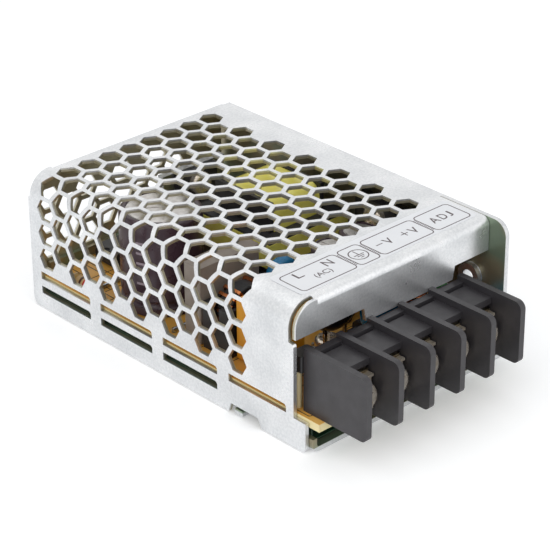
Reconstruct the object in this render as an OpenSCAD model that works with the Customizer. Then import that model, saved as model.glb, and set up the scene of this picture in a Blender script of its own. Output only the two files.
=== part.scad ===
// Open-frame switching power supply in a perforated sheet-metal case.
// A folded chassis (base and right wall) carries the circuit board, and a folded mesh cover
// (top, left side, front flange and back panel) closes it. A barrier terminal block with five
// screw terminals stands out of the open front.
// Sizes are in millimetres. Positions are measured from the case's front left bottom corner,
// X to the right, Y to the back and Z up, and in_frame() moves the origin to the middle of
// the base's underside.

/* [Case] */
// Width of the case, across the terminals
case_w = 51; // [48:0.5:60]
// Length of the case, without the terminal block
case_l = 78; // [76:0.5:95]
// Height of the case
case_h = 28; // [27.5:0.5:36]
// Thickness of the cover's sheet
cover_t = 0.8; // [0.5:0.1:1.2]
// Thickness of the chassis sheet
chassis_t = 1; // [0.6:0.1:1.4]
// Outer radius of the cover's large fold, from the top to the left side
fold_r = 4.8; // [3:0.1:7]
// Outer radius of the other folds
edge_r = 1.6; // [1.3:0.1:2.5]
// Gap between the cover and the chassis where one slides into the other
case_gap = 0.1; // [0.05:0.05:0.3]

/* [Mesh] */
// Width of one hexagon hole across its flats
hex_w = 4.3; // [3:0.1:4.6]
// Distance from one hole to the next along its row
hex_pitch = 5.235; // [4.8:0.005:7]
// Sheet left in front of the first holes' centres
mesh_front = 18.5; // [17:0.5:25]
// Sheet left behind the last holes' centres
mesh_back = 5; // [4:0.5:12]
// Sheet left right of the last holes' centres
mesh_right = 8.15; // [6:0.05:15]
// Height of the lowest holes' centres on the left side
mesh_low = 11; // [10.6:0.1:14]
// Height above which the back panel has no holes
back_mesh_top = 23.7; // [18:0.1:24]
// Height below which the back panel has no holes
back_mesh_low = 8.6; // [8:0.1:12]
// Sheet left at each side of the back panel's holes
back_mesh_side = 2; // [2:0.5:10]

/* [Side slots] */
// Length of one slot
slot_len = 15; // [8:0.5:16]
// Height of one slot
slot_h = 1.6; // [1:0.1:1.7]
// Distance from one slot to the next
slot_pitch = 18.1; // [17:0.1:24]
// Front end of the first slot
slot_start = 5.9; // [5.5:0.1:10]
// Height of the upper row, which shows the board's edge
slot_high_z = 6.35; // [6.2:0.05:6.8]
// Height of the lower row, which airs the space under the board
slot_low_z = 3.2; // [2:0.1:3.4]

/* [Cover ends] */
// How far behind the chassis front the left side starts
side_front = 4; // [3:0.1:4.5]
// How far behind the chassis front the low strip of the side starts
strip_front = 1; // [0.5:0.1:2]
// Height of the low strip
strip_h = 6; // [5.5:0.1:6.1]
// Front face of the flange
flange_y = 4; // [4:0.1:6]
// Lower edge of the flange at its two ends
flange_low_z = 21.3; // [20.5:0.1:23]
// Lower edge of the flange's middle part
flange_mid_z = 18.6; // [18:0.1:20]
// Left end of the flange's middle part
flange_mid_x1 = 17.8; // [12:0.1:20]
// Width of the case right of the flange's middle part
flange_mid_right = 10.7; // [8:0.1:14]
// Left end of the flange, beside the large fold
flange_left = 0.55; // [0.5:0.05:1.5]
// Length of the wall ear beside the top, ahead of the overhang
ear_len = 16; // [10:0.5:17]
// Front end of the notch in the side's lower edge
notch_y = 12.1; // [8:0.1:14]
// Length of that notch
notch_len = 8.9; // [6:0.1:10]
// Height of that notch
notch_h = 1.9; // [1:0.1:2.2]

/* [Board] */
// Height of the board's underside above the case's underside
board_z = 5; // [4:0.1:5]
// Thickness of the board
board_t = 1.6; // [1:0.1:1.6]
// Gap between the board and the case's sides
board_gap = 0.15; // [0.1:0.05:1]
// How far the board stands out ahead of the chassis
board_out = 1.5; // [0:0.1:3]
// Radius of the component leads
lead_r = 0.4; // [0.25:0.05:0.5]
// Length of lead left under the board
lead_tail = 1.3; // [0.8:0.1:1.5]

/* [Mounting holes] */
// Distance between the two threaded holes in the base, and in the wall
mount_pitch = 55; // [40:1:58]
// Distance from the case's front to the first of them
mount_front = 8; // [7.5:0.5:12]
// Core radius of the M3 threads
thread_r = 1.25; // [1:0.05:1.4]
// How far the drawn collars stand inwards
collar_h = 1; // [0.8:0.1:1.6]
// Height of the wall's holes
wall_hole_z = 14.7; // [12:0.1:18]

/* [Terminal block] */
// Thickness of the barriers between the poles
barrier_t = 1.3; // [1:0.1:1.4]
// Left face of the first barrier
block_x = 2.32; // [2:0.02:3]
// Width of the front right of the block, where the trimmer stands
trimmer_room = 8.23; // [7.9:0.01:10]
// Back face of the block
block_back = 3.9; // [3.5:0.1:3.9]
// How far the barriers stand out ahead of the case
barrier_out = 11.6; // [11:0.1:14]
// Height of the barriers above the board
barrier_h = 12.6; // [12:0.1:14]
// Height of the platform between the barriers, above the board
platform_h = 11.2; // [11:0.1:11.9]
// Front edge of the platform, ahead of the case
platform_out = 4.5; // [4.1:0.1:5.5]
// Front face of the block under the platform, ahead of the case
recess_out = 3.6; // [3.4:0.1:3.7]
// Height of the terminal screws above the board
screw_h = 5.1; // [4.8:0.1:5.5]
// Radius of the terminal screws' heads
screw_head_r = 2.9; // [2.5:0.1:3]
// Height of the terminal screws' heads
screw_head_h = 2; // [1.5:0.1:2.4]
// Radius of the terminal screws' shanks
screw_r = 1.45; // [1.2:0.05:1.5]
// Length of the terminal screws' shanks
screw_len = 6; // [5:0.1:7]
// Thickness of the contact plates and of the clamp plates
plate_t = 0.8; // [0.6:0.05:1]
// Height of the clamp plates
clamp_h = 7; // [6.6:0.1:7.2]

/* [Large parts] */
// Diameter of the bulk capacitor
bulk_d = 16; // [12:0.5:16]
// Height of the bulk capacitor
bulk_h = 19.3; // [15:0.1:19.5]
// Distance of the bulk capacitor's middle from the left side
bulk_x = 11.6; // [10:0.1:12]
// Distance of the bulk capacitor's middle from the front
bulk_y = 52.3; // [51:0.1:53]
// Distance of the transformer's middle from the left side
xfmr_x = 34.6; // [34.5:0.1:36]
// Distance of the transformer's middle from the front
xfmr_y = 47; // [46.9:0.1:48]
// Length of the transformer core along its winding's axis
core_l = 20.5; // [18:0.1:20.7]
// Width of the transformer core
core_w = 22; // [20:0.1:22]
// Thickness of the transformer core
core_t = 6; // [5:0.1:6.5]
// Height of the core's middle above the board
core_h = 10.2; // [9.5:0.1:10.8]
// Height of the transformer's winding
coil_h = 17.6; // [14:0.1:18]
// Diameter of the two output capacitors
out_cap_d = 8; // [6:0.1:8.2]
// Height of the two output capacitors
out_cap_h = 15; // [10:0.1:18]
// Diameter of the thermistor's disc
ntc_d = 12.4; // [10:0.1:13]
// Diameter of the varistor's disc
varistor_d = 9.4; // [7:0.1:10]

/* [Hidden] */
$fn = 48;

// Overrun of a cut past the face that it opens
over = 1;
// Running clearance between the screws and their plates
run_gap = 0.05;

// Height of the board's upper face
board_top = board_z + board_t;
board_x1 = cover_t + board_gap;
board_x2 = case_w - chassis_t - board_gap;
// Height of the wall where the cover's top lies over it
wall_top = case_h - cover_t - case_gap;
// Left face of the chassis, inside the cover
chassis_x = cover_t + case_gap;
// Back face of the chassis, inside the back panel
chassis_back = case_l - cover_t - case_gap;
lip_h = 2.8;
back_lip_h = 8.4;
back_lip_inset = 3;
// Right edge of the cover ahead of the overhang, and of the back panel
cover_right = case_w - chassis_t - case_gap;
back_right = cover_right - 0.6;
// Left edge of the back panel, inside the left side
back_left = cover_t + 0.5;
flange_mid_x2 = case_w - flange_mid_right;
// Width of the reliefs beside the folds
relief = 0.5;
// Height above which the left side stands back from the flange
side_step_z = flange_low_z - 0.6;
// Length of the large fold's outer arc
fold_len = fold_r * PI / 2;
// Radius of the collars round the threaded holes
collar_r = thread_r + 1.3;
mount_ys = [mount_front, mount_front + mount_pitch];
base_hole_x = case_w / 2;

sheet_t = 0.25;
sheet_x = chassis_x + chassis_t + 0.05;
// The sheet rests on the inside of the chassis folds
sheet_z = chassis_t + 0.4;
sheet_front = 1.5;
standoff_r = 2.4;
board_back = chassis_back - chassis_t - 0.3;
washer_t = 0.5;
washer_r = 3.1;

cover_screw_r = 1.15;
cover_screw_head = 2.1;
cover_screw_z = 3.2;
cover_screw_len = 2.6;
cover_screw_xs = [case_w / 2 - 14, case_w / 2 + 14];

poles = 5;
// Distance from one pole to the next, with which the block fills the front beside the trimmer
pole_pitch = (case_w - trimmer_room - block_x - barrier_t) / poles;
block_w = poles * pole_pitch + barrier_t;
pole_x = [for (i = [0:poles - 1]) block_x + barrier_t / 2 + (i + 0.5) * pole_pitch];
screw_z = board_top + screw_h;
barrier_r = 1.3;
ridge_d = 1.6;
// Width of the clamp plates and of the contact plates between the barriers
clamp_w = pole_pitch - barrier_t - 0.53;
contact_w = clamp_w + 0.1;
contact_low = 1.4;
contact_high = 9;
contact_front = recess_out + plate_t;
clamp_front = contact_front + run_gap + plate_t;
head_back = clamp_front + run_gap;
pin_y = 0.9;

// The board's components are chosen and laid out for a case of this width, length behind the
// terminal block and height above the board, and grow, shrink and spread with the case
layout_w = 51;
layout_back = 3.9;
layout_l = 78 - layout_back;
layout_h = 20.6;
spread_x = case_w / layout_w;
spread_y = (case_l - block_back) / layout_l;
parts_scale = min(spread_x, spread_y, (case_h - cover_t - board_top) / layout_h);

function at(x, y) = [x * spread_x, block_back + (y - layout_back) * spread_y];

standoff_at = [at(21, 16.8), at(45.5, 71.5)];
fuse_at = at(4.2, 5.7);
ntc_at = at(18.4, 12.4);
varistor_at = at(26.8, 9.3);
x_cap_at = at(8.8, 19.2);
film_at = at(12, 35.7);
choke_at = at(11.5, 29.5);
y_cap_at = at(23.2, 31.5);
bulk_at = at(bulk_x, bulk_y);
bridge_at = at(32, 71.4);
transistor_at = at(31, 63.4);
rectifier_at = at(45.1, 28.5);
xfmr_at = at(xfmr_x, xfmr_y);
chip_at = at(17, 70);
opto_at = at(34, 9.6);
inductor_at = at(40.5, 15);
led_at = at(39.2, 6);
trimmer_at = at(46.3, 2);
out_cap_at = [at(29.6, 24.6), at(37.8, 25.6)];
aux_cap_at = [at(21.4, 41), at(22.5, 60.5)];
resistor_at = [at(3.1, 65.5), at(40.6, 69.2), at(21.6, 50.5), at(46.9, 15.8)];
diode_at = [at(43.5, 61.5), at(31, 16.6)];
jumper_at = [at(10.2, 63.4), at(9.5, 41)];

// Pins of a component round its own middle: two along X or Y, a dual in-line row, or three in line
function pins_x(span) = [[-span / 2, 0], [span / 2, 0]];
function pins_y(span) = [[0, -span / 2], [0, span / 2]];
function pins_dual(n, row) =
    [for (i = [0:n - 1], side = [-1, 1]) [(i - (n - 1) / 2) * pin_step, side * row / 2]];
function pins_three() = [for (i = [-1:1]) [i * pin_step, -package_leg_y]];
// The same pins with the component turned clockwise by a quarter
function turned(pins) = [for (p = pins) [p.y, -p.x]];
// Where the pins of the component at a place go through the board
function placed(where, pins) = [for (p = pins) where + parts_scale * p];
function placed_all(places, pins) = [for (where = places, p = placed(where, pins)) p];

pin_step = 2.54;
package_leg_y = 1.2;
rail_w = 3.4;
axial_span = 10;
bridge_pins = pins_dual(3, 6.4);
chip_pins = pins_dual(4, 7.62);
opto_pins = pins_dual(2, 7.62);
choke_pins = [for (x = [-4, 4], y = [-2, 2]) [x, y]];
xfmr_pins = [for (side = [-1, 1], i = [-1.5:1:1.5]) [side * (core_l - rail_w) / 2, i * 4.5]];

fuse_pads = placed(fuse_at, pins_x(3));
ntc_pads = placed(ntc_at, pins_x(5));
varistor_pads = placed(varistor_at, pins_x(5));
x_cap_pads = placed(x_cap_at, pins_y(7.5));
film_pads = placed(film_at, pins_x(7.5));
choke_pads = placed(choke_at, choke_pins);
y_cap_pads = placed(y_cap_at, pins_x(5));
bulk_pads = placed(bulk_at, pins_y(7.5));
out_cap_pads = placed_all(out_cap_at, pins_x(3.5));
aux_cap_pads = placed_all(aux_cap_at, pins_x(2));
bridge_pads = placed(bridge_at, bridge_pins);
chip_pads = placed(chip_at, chip_pins);
opto_pads = placed(opto_at, opto_pins);
xfmr_pads = placed(xfmr_at, xfmr_pins);
transistor_pads = placed(transistor_at, pins_three());
rectifier_pads = placed(rectifier_at, turned(pins_three()));
inductor_pads = placed(inductor_at, pins_x(5));
led_pads = placed(led_at, pins_x(pin_step));
trimmer_pads = placed(trimmer_at, pins_x(4));
resistor_pads = placed_all(resistor_at, pins_y(axial_span));
diode_pads = placed_all(diode_at, pins_x(axial_span));
jumper_pads = placed_all(jumper_at, pins_x(axial_span));
pin_pads = [for (x = pole_x) [x, pin_y]];
pads = concat(
    fuse_pads, ntc_pads, varistor_pads, x_cap_pads, film_pads, choke_pads, y_cap_pads, bulk_pads,
    out_cap_pads, aux_cap_pads, bridge_pads, chip_pads, opto_pads, transistor_pads, rectifier_pads,
    inductor_pads, led_pads, trimmer_pads, resistor_pads, diode_pads, jumper_pads, pin_pads,
    xfmr_pads);

zinc = "#d9dadb";
nickel = "#c9c4b8";
tin = "#c4c6c8";
black_plastic = "#2c2b2c";

// ---- Shared shapes ----

module in_frame() {
    translate([-case_w / 2, -case_l / 2, 0]) children();
}

// Extrudes an outline drawn in X and Z, from y1 to y2
module along_y(y1, y2) {
    translate([0, y2, 0]) rotate([90, 0, 0]) linear_extrude(y2 - y1) children();
}

// Extrudes an outline drawn in Y and Z, from x1 to x2
module along_x(x1, x2) {
    translate([x1, 0, 0]) rotate([90, 0, 90]) linear_extrude(x2 - x1) children();
}

// Rectangle whose four corners are rounded
module round_rect(w, h, r) {
    translate([r, 0]) square([w - 2 * r, h]);
    translate([0, r]) square([w, h - 2 * r]);
    for (x = [r, w - r], y = [r, h - r]) translate([x, y]) circle(r);
}

// Rectangle standing on its lower edge, with its upper corners rounded
module arch(w, h, r) {
    square([w, h - r]);
    translate([r, 0]) square([w - 2 * r, h]);
    for (x = [r, w - r]) translate([x, h - r]) circle(r);
}

// Corner piece that rounds a square corner at the origin when it is cut away
module corner_cut(r) {
    difference() {
        translate([-over, -over]) square(r + over);
        translate([r, r]) circle(r);
    }
}

// Puts a component, drawn round its own middle on the board's upper face, in its place
module on_board(where, turn = 0) {
    translate([where.x, where.y, board_top]) rotate([0, 0, turn]) scale(parts_scale) children();
}

// Vertical leads from their tails under the board up to h above it, in the component's own size
module leads(at_pads, h) {
    for (p = at_pads)
        translate([p.x, p.y, board_z - lead_tail])
            cylinder(r = lead_r, h = lead_tail + board_t + h * parts_scale);
}

// ---- Case ----

// Section of the chassis across the case: left lip, base and right wall
module chassis_section() {
    difference() {
        mirror([0, 1]) translate([chassis_x, -case_h])
            arch(case_w - chassis_x, case_h, edge_r);
        mirror([0, 1]) translate([chassis_x + chassis_t, -case_h - over])
            arch(case_w - chassis_x - 2 * chassis_t, case_h - chassis_t + over, edge_r - chassis_t);
    }
}

// Section of the base's back lip, seen from the side
module back_lip_section() {
    difference() {
        translate([case_l / 2, 0]) difference() {
            square([chassis_back - case_l / 2, back_lip_h]);
            translate([chassis_back - case_l / 2, 0]) mirror([1, 0]) corner_cut(edge_r);
        }
        translate([case_l / 2 - over, chassis_t]) difference() {
            square([chassis_back - chassis_t - case_l / 2 + over, back_lip_h]);
            translate([chassis_back - chassis_t - case_l / 2 + over, 0]) mirror([1, 0])
                corner_cut(edge_r - chassis_t);
        }
    }
}

module base_chassis() {
    color(zinc) in_frame() difference() {
        union() {
            along_y(0, case_l) chassis_section();
            along_x(back_lip_inset, case_w - back_lip_inset) back_lip_section();
            for (y = mount_ys) {
                translate([base_hole_x, y, chassis_t / 2])
                    cylinder(r = collar_r, h = chassis_t / 2 + collar_h);
                translate([case_w - chassis_t - collar_h, y, wall_hole_z]) rotate([0, 90, 0])
                    cylinder(r = collar_r, h = chassis_t / 2 + collar_h);
            }
            locating_tab();
        }
        // The left lip is low, and stops short of the notch in the cover
        translate([-over, -over, lip_h])
            cube([sheet_x + over, case_l + 2 * over, case_h]);
        difference() {
            translate([-over, notch_y, -over]) cube([over + sheet_x + edge_r, notch_len, lip_h + 2 * over]);
            locating_tab();
        }
        // Behind the base only the wall goes on to the case's back face
        translate([-over, chassis_back, -over])
            cube([case_w - chassis_t + over, case_l, case_h + 2 * over]);
        // The wall is lower where the cover's top lies over it
        translate([case_w - chassis_t - over, ear_len + relief, wall_top])
            cube([chassis_t + 2 * over, case_l, case_h]);
        along_x(case_w - chassis_t - over, case_w + over)
            translate([0, case_h]) mirror([0, 1]) corner_cut(3);
        for (y = mount_ys) {
            translate([base_hole_x, y, -over]) cylinder(r = thread_r, h = collar_h + 2 * over + chassis_t);
            translate([case_w - chassis_t - collar_h - over, y, wall_hole_z]) rotate([0, 90, 0])
                cylinder(r = thread_r, h = collar_h + 2 * over + chassis_t);
        }
        for (x = cover_screw_xs)
            translate([x, chassis_back + over, cover_screw_z]) rotate([90, 0, 0])
                cylinder(r = cover_screw_r + run_gap, h = chassis_t + 2 * over);
    }
}

// Tab of the chassis that stands in the cover's notch
module locating_tab() {
    translate([case_gap, notch_y + notch_len - 3.6, 0.2])
        cube([chassis_x + chassis_t + edge_r, 2, 1.1]);
}

// Section of the cover across the case: left side, large fold and top
module cover_section() {
    difference() {
        union() {
            square([case_w, case_h - fold_r]);
            translate([fold_r, 0]) square([case_w - fold_r, case_h]);
            translate([fold_r, case_h - fold_r]) circle(fold_r);
        }
        translate([cover_t, -over]) square([case_w, case_h - fold_r + over]);
        translate([fold_r, -over]) square([case_w, case_h - cover_t + over]);
        translate([fold_r, case_h - fold_r]) circle(fold_r - cover_t);
    }
}

// Section of the cover along the case: front flange, top and back panel
module cover_ends_section() {
    difference() {
        translate([flange_y, 0]) arch(case_l - flange_y, case_h, edge_r);
        translate([flange_y + cover_t, -over])
            arch(case_l - flange_y - 2 * cover_t, case_h - cover_t + over, edge_r - cover_t);
    }
}

// Outline of the flange and of the back panel beside the large fold, out to x = left
module end_corner(left) {
    corner_r = fold_r - left;
    translate([left, 0]) square([fold_r + 2 * relief - left, case_h - fold_r]);
    intersection() {
        translate([fold_r, case_h - fold_r]) circle(corner_r);
        translate([0, case_h - fold_r]) square([fold_r, fold_r]);
    }
    translate([fold_r, case_h - fold_r]) square([2 * relief, corner_r]);
}

// What is cut away under the flange, whose middle part reaches lower
module under_flange() {
    slope = 0.5;
    polygon([
        [-over, -over], [-over, flange_low_z], [flange_mid_x1 - slope, flange_low_z],
        [flange_mid_x1, flange_mid_z], [flange_mid_x2, flange_mid_z],
        [flange_mid_x2 + slope, flange_low_z], [case_w + over, flange_low_z], [case_w + over, -over]
    ]);
}

// Places its children on the cover's outer face at u, measured round the large fold from the
// top edge of the flat left side, and at y, with their Z axis pointing out of the sheet
module on_cover(u, y) {
    turn = min(max(u / fold_r * 180 / PI, 0), 90);
    along = u < 0 ? u : max(u - fold_len, 0);
    translate([fold_r, y, case_h - fold_r]) rotate([0, turn - 90, 0])
        translate([along, 0, fold_r]) children();
}

module hex_hole() {
    rotate([0, 0, 90]) cylinder(r = hex_w / sqrt(3), h = 4, center = true, $fn = 6);
}

// The hexagons run from the top round the large fold and down the left side in one pattern
module mesh_holes() {
    column_step = hex_pitch * sqrt(3) / 2;
    columns = floor((case_l - mesh_front - mesh_back) / column_step);
    u_first = fold_len + case_w - mesh_right - fold_r;
    u_last = mesh_low - (case_h - fold_r);
    for (i = [0:columns])
        for (u = [u_first - (i % 2) * hex_pitch / 2 : -hex_pitch : u_last])
            on_cover(u, mesh_front + i * column_step) hex_hole();
}

module back_mesh_holes() {
    column_step = hex_pitch * sqrt(3) / 2;
    reach = hex_w / sqrt(3);
    x_first = back_left + back_mesh_side + reach / 2;
    z_first = back_mesh_top - hex_w / 2;
    columns = floor((back_right - back_mesh_side - reach - x_first) / column_step);
    for (i = [0:columns - 1])
        for (z = [z_first - (i % 2) * hex_pitch / 2 : -hex_pitch : back_mesh_low + hex_w / 2])
            translate([x_first + i * column_step, case_l, z]) rotate([90, 0, 0])
                cylinder(r = hex_w / sqrt(3), h = 4, center = true, $fn = 6);
}

// One slot, with its upper front corner rounded
module slot() {
    difference() {
        square([slot_len, slot_h]);
        translate([0, slot_h]) mirror([0, 1]) corner_cut(0.7);
    }
}

module side_slots() {
    slots = floor((case_l - slot_start - slot_len) / slot_pitch);
    along_x(-over, cover_t + over) for (i = [0:slots]) {
        translate([slot_start + i * slot_pitch, slot_high_z]) slot();
        if (i > 0) translate([slot_start + i * slot_pitch, slot_low_z]) slot();
    }
}

// What is cut from the left side: its stepped front end, rounded corners and notch
module side_outline_cuts() {
    bevel = 1.2;
    translate([-over, strip_h]) square([side_front + over, case_h]);
    translate([-over, -over]) square([strip_front + over, strip_h + 2 * over]);
    translate([strip_front, 0]) corner_cut(1);
    translate([side_front, side_step_z]) mirror([0, 1]) corner_cut(0.8);
    translate([case_l, 0]) mirror([1, 0]) corner_cut(1.5);
    polygon([
        [notch_y, -over], [notch_y, 0], [notch_y + bevel, notch_h],
        [notch_y + notch_len - bevel / 2, notch_h], [notch_y + notch_len, 0],
        [notch_y + notch_len, -over]
    ]);
}

// Left side, large fold and top, up to where the two end folds start
module cover_wrap() {
    fold_front = flange_y + cover_t + relief;
    difference() {
        along_y(0, case_l) cover_section();
        along_x(-over, cover_t + over) side_outline_cuts();
        // The large fold stops short of the flange and of the back panel
        translate([-over, -over, side_step_z])
            cube([fold_r + relief + over, fold_front + over, case_h]);
        translate([-over, case_l - relief, case_h - fold_r])
            cube([fold_r + relief + over, relief + over, fold_r + over]);
        translate([fold_r + relief, -over, case_h - fold_r])
            cube([case_w, flange_y + edge_r + over, fold_r + over]);
        translate([fold_r + relief, case_l - edge_r, case_h - fold_r])
            cube([case_w, edge_r + over, fold_r + over]);
    }
}

// Front fold and the flange under it
module cover_flange() {
    difference() {
        union() {
            along_x(fold_r + relief, cover_right) intersection() {
                cover_ends_section();
                square([case_l / 2, case_h]);
            }
            along_y(flange_y, flange_y + cover_t) end_corner(flange_left);
        }
        along_y(flange_y - over, flange_y + cover_t + edge_r) under_flange();
    }
}

// Rear fold and the back panel
module cover_back() {
    panel_low = 1.5;
    difference() {
        union() {
            along_x(fold_r + relief, back_right) intersection() {
                cover_ends_section();
                translate([case_l / 2, 0]) square([case_l / 2, case_h]);
            }
            along_y(case_l - cover_t, case_l) end_corner(back_left);
        }
        translate([-over, case_l - cover_t - over, -over])
            cube([case_w + 2 * over, 3 * over, panel_low + over]);
        for (x = cover_screw_xs)
            translate([x, case_l - cover_t - run_gap, cover_screw_z]) rotate([-90, 0, 0]) cylinder(
                r1 = cover_screw_r + run_gap, r2 = cover_screw_head + run_gap, h = cover_t + 2 * run_gap);
    }
}

module mesh_cover() {
    color(zinc) in_frame() difference() {
        union() {
            cover_wrap();
            cover_flange();
            cover_back();
        }
        // Ahead of the overhang the top lies inside the wall, and behind it stops above the wall
        translate([cover_right, -over, case_h / 2]) cube([case_w, ear_len + relief + over, case_h]);
        mesh_holes();
        back_mesh_holes();
        side_slots();
    }
}

module cover_screws() {
    color(nickel) in_frame() for (x = cover_screw_xs)
        translate([x, case_l, cover_screw_z]) rotate([90, 0, 0]) difference() {
            union() {
                cylinder(r1 = cover_screw_head, r2 = cover_screw_r, h = cover_t);
                cylinder(r = cover_screw_r, h = cover_screw_len);
            }
            for (a = [0, 90]) rotate([0, 0, a]) translate([-1.2, -0.25, -over]) cube([2.4, 0.5, over + 0.5]);
        }
}

// ---- Board and what carries it ----

module insulation_sheet() {
    hole_r = standoff_r + 0.3;
    color("#1e3a2a") in_frame() difference() {
        union() {
            translate([sheet_x, sheet_front, sheet_z])
                cube([case_w - chassis_t - 0.05 - sheet_x, board_back - sheet_front, sheet_t]);
            translate([sheet_x, sheet_front, sheet_z])
                cube([sheet_t, board_back - sheet_front, board_z - sheet_z - 0.85]);
        }
        for (p = standoff_at) translate([p.x, p.y, 0]) cylinder(r = hole_r, h = board_z);
        for (y = mount_ys) translate([base_hole_x, y, 0]) cylinder(r = hole_r, h = board_z);
    }
}

module board_standoffs() {
    color(nickel) in_frame() for (p = standoff_at)
        translate([p.x, p.y, chassis_t]) difference() {
            cylinder(r = standoff_r, h = board_z - chassis_t);
            translate([0, 0, 0.5]) cylinder(r = thread_r, h = board_z);
        }
}

module circuit_board() {
    color("#e0ae4e") in_frame() difference() {
        translate([board_x1, -board_out, board_z])
            cube([board_x2 - board_x1, board_back + board_out, board_t]);
        for (p = standoff_at) translate([p.x, p.y, 0]) cylinder(r = 1.7, h = case_h);
        for (p = pads) translate([p.x, p.y, 0]) cylinder(r = lead_r + 0.1, h = case_h, $fn = 24);
    }
}

// Pan-head screws that hold the board to its standoffs
module board_screws() {
    head_z = board_top + washer_t;
    color(nickel) in_frame() for (p = standoff_at)
        translate([p.x, p.y, head_z]) difference() {
            union() {
                pan_head(2.6, 1.8);
                translate([0, 0, chassis_t + 0.7 - head_z])
                    cylinder(r = thread_r - run_gap, h = head_z - chassis_t - 0.7);
            }
            cross_recess(3, 1, 1.8);
        }
}

// Screw head of radius r and height h, with a rounded rim
module pan_head(r, h) {
    rim = h * 0.45;
    rotate_extrude() {
        square([r - rim, h]);
        square([r, h - rim]);
        translate([r - rim, h - rim]) intersection() {
            circle(rim);
            square(rim);
        }
    }
}

// Cross recess of span w and depth d in a head of height h
module cross_recess(w, d, h) {
    for (a = [45, 135]) rotate([0, 0, a]) translate([-w / 2, -0.3, h - d]) cube([w, 0.6, d + over]);
}

// Star washers whose teeth bite into the earth pad
module board_washers() {
    color(tin) in_frame() for (p = standoff_at)
        translate([p.x, p.y, board_top]) difference() {
            union() {
                cylinder(r = washer_r - 0.5, h = washer_t);
                for (a = [0:30:330]) rotate([0, 0, a])
                    translate([washer_r - 0.8, -0.35, 0]) cube([0.8, 0.7, washer_t]);
            }
            translate([0, 0, -over]) cylinder(r = 1.7, h = washer_t + 2 * over);
        }
}

module solder_joints() {
    color(tin) in_frame() for (p = pads)
        translate([p.x, p.y, board_z]) mirror([0, 0, 1]) difference() {
            cylinder(r1 = lead_r + 0.55, r2 = lead_r + 0.1, h = 0.9, $fn = 24);
            translate([0, 0, -over]) cylinder(r = lead_r, h = 3 * over, $fn = 24);
        }
}

// ---- Terminal block ----

// Outline of a barrier, seen from the side
module barrier_outline() {
    difference() {
        translate([-barrier_out, board_top]) square([barrier_out + block_back, barrier_h]);
        translate([-barrier_out, board_top]) corner_cut(barrier_r);
        translate([-barrier_out, board_top + barrier_h]) mirror([0, 1]) corner_cut(1.2 * barrier_r);
    }
}

// Outline of the block between two barriers, seen from the side
module body_outline() {
    translate([-recess_out, board_top]) square([recess_out + block_back, platform_h]);
    translate([-platform_out, board_top + platform_h - 1.3]) square([platform_out, 1.3]);
    translate([block_back - ridge_d, board_top]) square([ridge_d, platform_h + 0.5]);
}

module terminal_block() {
    color("#3c3b3d") in_frame() difference() {
        union() {
            for (i = [0:poles]) translate([block_x + i * pole_pitch, 0, 0])
                along_x(0, barrier_t) barrier_outline();
            along_x(block_x + 0.1, block_x + block_w - 0.1) body_outline();
        }
        for (x = pole_x) {
            // Clearance for the screw's tip
            translate([x, -recess_out - over, screw_z]) rotate([-90, 0, 0])
                cylinder(r = screw_r + 0.3, h = screw_len - plate_t + 2);
            // Slot for the contact's foot and its pin
            translate([x - 1, -recess_out - over, board_top - over])
                cube([2, recess_out + over + pin_y + 0.6, over + contact_low + plate_t + 0.05]);
            // Groove in front of the back ridge
            translate([x - pole_pitch / 2 + 2.2, block_back - ridge_d - 0.5, board_top + platform_h - 0.6])
                cube([pole_pitch - 3.2, 0.5, over + 0.6]);
        }
    }
}

// Contact plates in front of the block, each with a foot and a pin to the board
module terminal_contacts() {
    color(nickel) in_frame() for (x = pole_x) {
        difference() {
            translate([x - contact_w / 2, -contact_front, board_top + contact_low])
                cube([contact_w, plate_t, contact_high - contact_low]);
            translate([x, -contact_front - over, screw_z]) rotate([-90, 0, 0])
                cylinder(r = screw_r + run_gap, h = plate_t + 2 * over);
        }
        translate([x - 0.8, -contact_front, board_top + contact_low])
            cube([1.6, contact_front + pin_y + 0.3, plate_t]);
        translate([x, pin_y, board_z - lead_tail])
            cylinder(r = lead_r, h = lead_tail + board_t + contact_low + 0.3);
    }
}

// Clamp plate under a screw's head, its upper and lower edges curled forwards
module clamp_plate(pole) {
    curl = 0.5;
    x = pole_x[pole - 1];
    color(nickel) in_frame() difference() {
        union() {
            translate([x - clamp_w / 2, -clamp_front, screw_z - clamp_h / 2])
                cube([clamp_w, plate_t, clamp_h]);
            for (z = [screw_z - clamp_h / 2, screw_z + clamp_h / 2 - curl])
                translate([x - clamp_w / 2, -clamp_front - curl, z]) cube([clamp_w, curl + 0.1, curl]);
        }
        translate([x, -clamp_front - over, screw_z]) rotate([-90, 0, 0])
            cylinder(r = screw_r + run_gap, h = plate_t + 2 * over);
    }
}

module terminal_screw(pole) {
    color(nickel) in_frame()
        translate([pole_x[pole - 1], -head_back, screw_z]) rotate([90, 0, 0]) difference() {
            union() {
                pan_head(screw_head_r, screw_head_h);
                translate([0, 0, -screw_len]) cylinder(r = screw_r, h = screw_len);
            }
            cross_recess(3.4, 1.1, screw_head_h);
        }
}

// ---- Input side ----

// Small moulded fuse box on two sleeved leads
module input_fuse() {
    box = [4.2, 3, 3.2];
    lift = 7.4;
    color(black_plastic) in_frame() {
        on_board(fuse_at) {
            translate([-box.x / 2, -box.y / 2, lift]) linear_extrude(box.z) round_rect(box.x, box.y, 0.5);
            for (p = pins_x(3)) translate([p.x, p.y, 0]) cylinder(r = 0.8, h = lift + 0.1);
        }
        leads(fuse_pads, lift);
    }
}

// Rounded disc of diameter d and thickness t that stands with its middle at height h
module disc_body(d, t, h) {
    edge = t / 2;
    translate([0, 0, h]) rotate([90, 0, 0]) rotate_extrude() {
        translate([0, -edge]) square([d / 2 - edge, t]);
        intersection() {
            translate([d / 2 - edge, 0]) circle(edge);
            translate([0, -edge]) square([d / 2, t]);
        }
    }
}

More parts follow.
